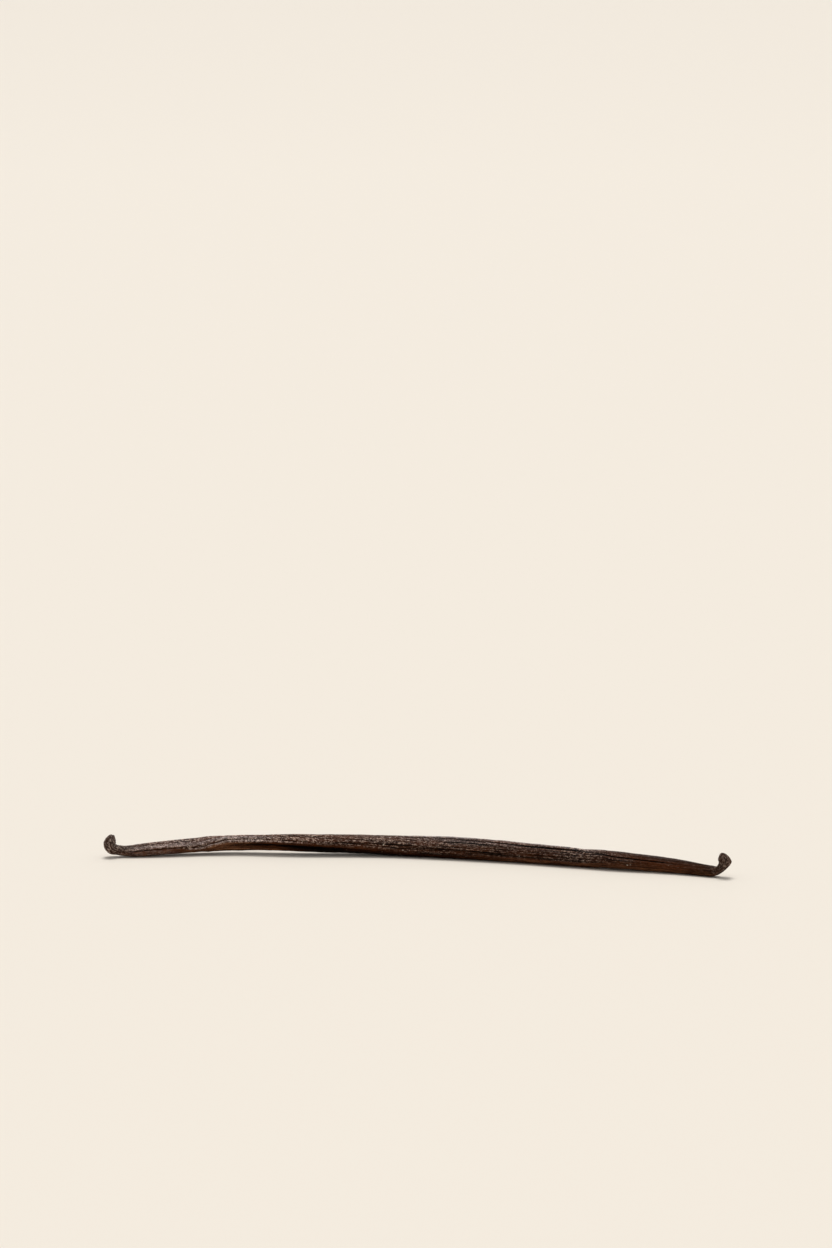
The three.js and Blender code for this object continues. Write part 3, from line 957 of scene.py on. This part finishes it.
# A painted highlight along the polished top keel.
polish_highlight = maths(tree, "MULTIPLY", polished_and_highlight_mask, remap(tree, fibres["Grain"], 0.0, 1.0, 0.15, 0.45))
keels = blend_colours(tree, polish_highlight, worn_highlit_keels, POLISH_HIGHLIGHT)
end_colour = blend_colours(tree, flakes, DARK_END, PALE_END)
end_share = maths(tree, "MULTIPLY", dry_mask, remap(tree, crest_mask, 0.1, 0.7, 0.6, 1.0))
skin_colour = blend_colours(tree, end_share, keels, end_colour)
print("with colours:", len(tree.nodes), "nodes")

# %% [markdown]
# ## Skin finish: shine
#
# Oil makes the skin glossy in streaks, so the roughness follows the fibres. The
# bottoms of narrow pleats mirror little of the room, so they get little shine.
# Only the folds that are too fine for the mesh are left to a bump.

# %% Skin finish: shine
BUMP_DEPTH = 0.0002  # m
FIBRE_HEIGHT = 0.6  # of a fold's

satin = remap(tree, fibres["Grain"], 0.0, 1.0, 0.28, 0.44)
smoothed = maths(tree, "SUBTRACT", satin, maths(tree, "MULTIPLY", polished_and_highlight_mask, 0.1))
roughness = maths(tree, "ADD", smoothed, maths(tree, "MULTIPLY", dry_mask, 0.2))
crest_shine = remap(tree, crest_mask, 0.2, 0.8, 0.04, remap(tree, rubbed_highlight_mask, 0.0, 0.8, 0.09, 0.36))
shine = maths(tree, "ADD", crest_shine, maths(tree, "MULTIPLY", polished_and_highlight_mask, 0.5))
fibre_height = maths(tree, "MULTIPLY", fibres["Grain"], FIBRE_HEIGHT)
crispness = remap(tree, polished_and_highlight_mask, 0.0, 0.8, 1.0, 0.4)
bump = add(tree, "ShaderNodeBump", {
    "Height": maths(tree, "ADD", folds_height, fibre_height), "Strength": crispness,
    "Distance": BUMP_DEPTH})
end_finish(skin_finish, pod, {
    "Base Color": skin_colour, "Roughness": roughness, "Normal": bump.outputs[0],
    "IOR": 1.45, "Specular IOR Level": shine})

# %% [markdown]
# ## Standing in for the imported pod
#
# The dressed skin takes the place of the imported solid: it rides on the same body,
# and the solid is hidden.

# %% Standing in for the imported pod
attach(pod, "root")
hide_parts("vanilla_pod")
print("pod_skin stands for vanilla_pod")

# %% [markdown]
# ## Flecks
#
# Good pods bloom: their own vanillin comes out and dries on the skin as tiny
# pale crystals, and lint settles on the oil. A few larger ones have places of
# their own, and the rest are strewn by seeded chance, thickest on the front keel
# and at the waist. Those on the front keel also stand in for its glints, as
# painted highlights. Each is a small flattened pebble sunk a third of the way into
# the skin. They are one mesh, because a hundred objects would slow the scene.

# %% Flecks
FLECKS = [  # along, around, half length, half width, tilt in degrees
    (88.2, 32, 0.62, 0.17, 58), (94.3, 8, 0.36, 0.19, 12), (164.8, 30, 0.2, 0.2, 0),
    (110.0, 42, 0.16, 0.1, 20), (131.2, 22, 0.16, 0.11, 30), (151.0, 48, 0.14, 0.12, 0),
    (66.0, 58, 0.3, 0.16, 8), (50.6, 62, 0.32, 0.1, 0),
]
STREWN = [  # how many, along from, to, around from, to
    (16, 30, 42, -8, 12), (8, 60, 64, 8, 20), (20, 144, 156, 20, 90), (44, 14, 186, -40, 140),
]
FLECK_RINGS, FLECK_SIDES = 4, 7
SMALLEST, SIZE_RANGE, LONGEST, MOST_TILT = 0.03, 0.06, 3.5, 40  # mm, mm, widths, degrees
PEBBLE_HEIGHT, PEBBLE_LIFT = 0.55, 0.2  # of its half width


def strewn_flecks(seed):
    chance = np.random.default_rng(seed)
    for count, start, stop, low_side, high_side in STREWN:
        for _ in range(count):
            size = SMALLEST + SIZE_RANGE * chance.random() ** 3
            yield (chance.uniform(start, stop), chance.uniform(low_side, high_side),
                   size * chance.uniform(1, LONGEST), size, chance.uniform(-MOST_TILT, MOST_TILT))


def skin_frame(along, around):
    """The nearest corner of the skin, with its outward and lengthwise directions."""
    ring = int(np.abs(ring_along - along).argmin())
    ring = min(max(ring, 1), len(ring_along) - 2)
    side = round(around / 360 * SIDES) % SIDES
    lengthwise = unit(skin[ring + 1, side] - skin[ring - 1, side])
    crosswise = unit(skin[ring, (side + 1) % SIDES] - skin[ring, side - 1])
    return skin[ring, side], lengthwise, crosswise, unit(np.cross(lengthwise, crosswise))


def pebble(half_length, half_width):
    """Rings of a small pebble round its short axis, with a tip at each end."""
    rise = np.linspace(-90, 90, FLECK_RINGS + 2)[1:-1]
    turn = np.arange(FLECK_SIDES) * 360 / FLECK_SIDES
    level, around = np.radians(np.meshgrid(rise, turn, indexing="ij"))
    flat = np.stack([half_length * np.cos(level) * np.cos(around),
                     half_width * np.cos(level) * np.sin(around),
                     PEBBLE_HEIGHT * half_width * np.sin(level)], -1).reshape(-1, 3)
    tips = PEBBLE_HEIGHT * half_width * np.array([[0, 0, -1], [0, 0, 1]])
    return np.vstack([flat, tips])


def pebble_faces():
    """Its walls, turned to face outwards, and the two fans of its foot and crown."""
    walls = net_faces(FLECK_RINGS, FLECK_SIDES)[:, [0, 3, 2, 1]]
    top, tip = (FLECK_RINGS - 1) * FLECK_SIDES, FLECK_RINGS * FLECK_SIDES
    foot = fan_faces(0, tip, FLECK_SIDES, flipped=True)
    crown = fan_faces(top, tip + 1, FLECK_SIDES, flipped=False)
    return walls, np.vstack([foot, crown])


def fleck_corners(along, around, half_length, half_width, tilt):
    foot, lengthwise, crosswise, outward = skin_frame(along, around)
    turn = math.radians(tilt)
    long_way = math.cos(turn) * lengthwise + math.sin(turn) * crosswise
    wide_way = math.cos(turn) * crosswise - math.sin(turn) * lengthwise
    frame_here = np.stack([long_way, wide_way, outward])
    lifted = foot + pebble(half_length, half_width) @ frame_here
    return lifted + PEBBLE_LIFT * half_width * outward


all_flecks = FLECKS + list(strewn_flecks(seed=61))
fleck_size = FLECK_RINGS * FLECK_SIDES + 2
offsets = np.arange(len(all_flecks))[:, None, None] * fleck_size
walls, caps = pebble_faces()
fleck_points = np.concatenate([fleck_corners(*fleck) for fleck in all_flecks])
flecks = make_mesh("skin_flecks", (fleck_points + shift) * MM,
                   [(walls[None] + offsets).reshape(-1, 4), (caps[None] + offsets).reshape(-1, 3)])
write_attribute(flecks, "unrolled", fleck_points, "FLOAT_VECTOR", "vector")
print(f"skin_flecks: {len(all_flecks)} flecks, {len(flecks.data.polygons)} faces")

# %% [markdown]
# ## Fleck finish
#
# The crystals are small, pale and, close to, a little see-through. From where a
# pod is looked at only their colour is seen, so a soft cream with a warm stain is
# enough. The stain is the shared grain group with its own values.

# %% Fleck finish
fleck_finish, tree = start_finish("pale flecks")
tint = use_group(tree, grain_group, {
    "Place": attribute(tree, "unrolled", "Vector"), "Per mm": 1.3, "Stretch": 1.0, "Detail": 1.0,
    "Low": 0.35, "High": 0.65})
# Pale cream, for crystals and lint, and for the glints that the keel flecks stand in for.
fleck_colour = blend_colours(tree, tint["Grain"], colour("8d7868"), colour("d8cbbb"))
dullness = remap(tree, tint["Grain"], 0.0, 1.0, 0.35, 0.6)
end_finish(fleck_finish, flecks, {"Base Color": fleck_colour, "Roughness": dullness})
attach(flecks, "root")

# %% [markdown]
# ## A pale floor
#
# The pod lies on a plain pale floor that runs out of the picture on all sides
# and rises gently at the back, so that no edge shows. Its warm tint matters: the
# light that it throws back is what warms the pod's underside.

# %% A pale floor
FLOOR_HALF_WIDTH, FLOOR_FRONT, FLOOR_BACK = 8.0, -3.0, 14.0
RISE_FROM, RISE, RISE_ROWS = 5.0, 0.9, 25
floor_y = np.concatenate([[FLOOR_FRONT], np.linspace(RISE_FROM, FLOOR_BACK, RISE_ROWS)])
floor_z = RISE * ((floor_y - RISE_FROM).clip(0) / (FLOOR_BACK - RISE_FROM)) ** 2
floor_corners = [[side * FLOOR_HALF_WIDTH, y, z] for y, z in zip(floor_y, floor_z) for side in (-1, 1)]
row = 2 * np.arange(len(floor_y) - 1)[:, None]
floor = make_mesh("floor", np.array(floor_corners), [row + np.array([0, 1, 3, 2])])
floor_finish, tree = start_finish("pale floor")
end_finish(floor_finish, floor, {"Base Color": colour("e4ddd2"), "Roughness": 0.7})
print("floor:", 2 * FLOOR_HALF_WIDTH, "m across")

# %% [markdown]
# ## Studio light
#
# The main light is large and stands behind and above the pod, a little to its
# left. It skims the backs of the pleats and leaves the front in its own shade. A
# sun lamp with a wide angle does that evenly over the whole floor. The sky is a
# pale room, brighter overhead than in front.

# %% Studio light
KEY_STRENGTH, KEY_ANGLE, KEY_COLOUR = 2.0, 26, (1.0, 0.985, 0.96)
KEY_AZIMUTH, KEY_HEIGHT = -170, 68
ROOM_FRONT, ROOM_TOP, ROOM_COLOUR = 0.15, 0.7, (1.0, 0.98, 0.96, 1.0)


def towards(azimuth, height):
    """A direction, in degrees to the right of the front and degrees up."""
    azimuth, height = math.radians(azimuth), math.radians(height)
    return Vector((math.sin(azimuth) * math.cos(height), -math.cos(azimuth) * math.cos(height),
                   math.sin(height)))


key = new_object("key", bpy.data.lights.new("key", "SUN"))
key.data.energy = KEY_STRENGTH
key.data.angle = math.radians(KEY_ANGLE)
key.data.color = KEY_COLOUR
key_way = towards(KEY_AZIMUTH, KEY_HEIGHT)
key.rotation_euler = key_way.to_track_quat("Z", "Y").to_euler()

room = bpy.data.worlds.new("pale room")
bpy.context.scene.world = room
room.use_nodes = True
tree = room.node_tree
tree.nodes.clear()
ways = add(tree, "ShaderNodeTexCoord").outputs["Generated"]
back_and_up = Vector((-0.2, 0.55, 0.8)).normalized()
facing = add(tree, "ShaderNodeVectorMath", {0: ways, 1: back_and_up}, operation="DOT_PRODUCT")
level = remap(tree, facing.outputs["Value"], -0.4, 0.9, ROOM_FRONT, ROOM_TOP)
sky = add(tree, "ShaderNodeBackground", {"Color": ROOM_COLOUR, "Strength": level})
add(tree, "ShaderNodeOutputWorld", {"Surface": sky.outputs[0]})
print("key light comes from", [round(x, 2) for x in key_way])

# %% [markdown]
# ## Camera
#
# A long lens from over a metre away keeps the pod's two ends the same size. The
# camera stands low, about twelve degrees above the table, and a little to the
# right of square. It looks past the pod, which so comes to lie below the middle
# of an upright picture.

# %% Camera
CAMERA_AZIMUTH, CAMERA_HEIGHT, CAMERA_DISTANCE = 9.01, 12.5, 1.1705
PIVOT = Vector((0.00074, -0.0084, 0.0025))
LOOK_ABOVE = 0.072
LENS, SENSOR = 111.52, 36.0
camera = new_object("camera", bpy.data.cameras.new("camera"))
camera.data.lens = LENS
camera.data.sensor_fit = "VERTICAL"
camera.data.sensor_height = SENSOR
camera.data.clip_start, camera.data.clip_end = 0.05, 50
camera.location = PIVOT + CAMERA_DISTANCE * towards(CAMERA_AZIMUTH, CAMERA_HEIGHT)
looking = PIVOT + Vector((0, 0, LOOK_ABOVE)) - camera.location
camera.rotation_euler = looking.to_track_quat("-Z", "Y").to_euler()
bpy.context.scene.camera = camera
bpy.context.scene.view_settings.view_transform = "Standard"
print("camera at", [round(x, 3) for x in camera.location])
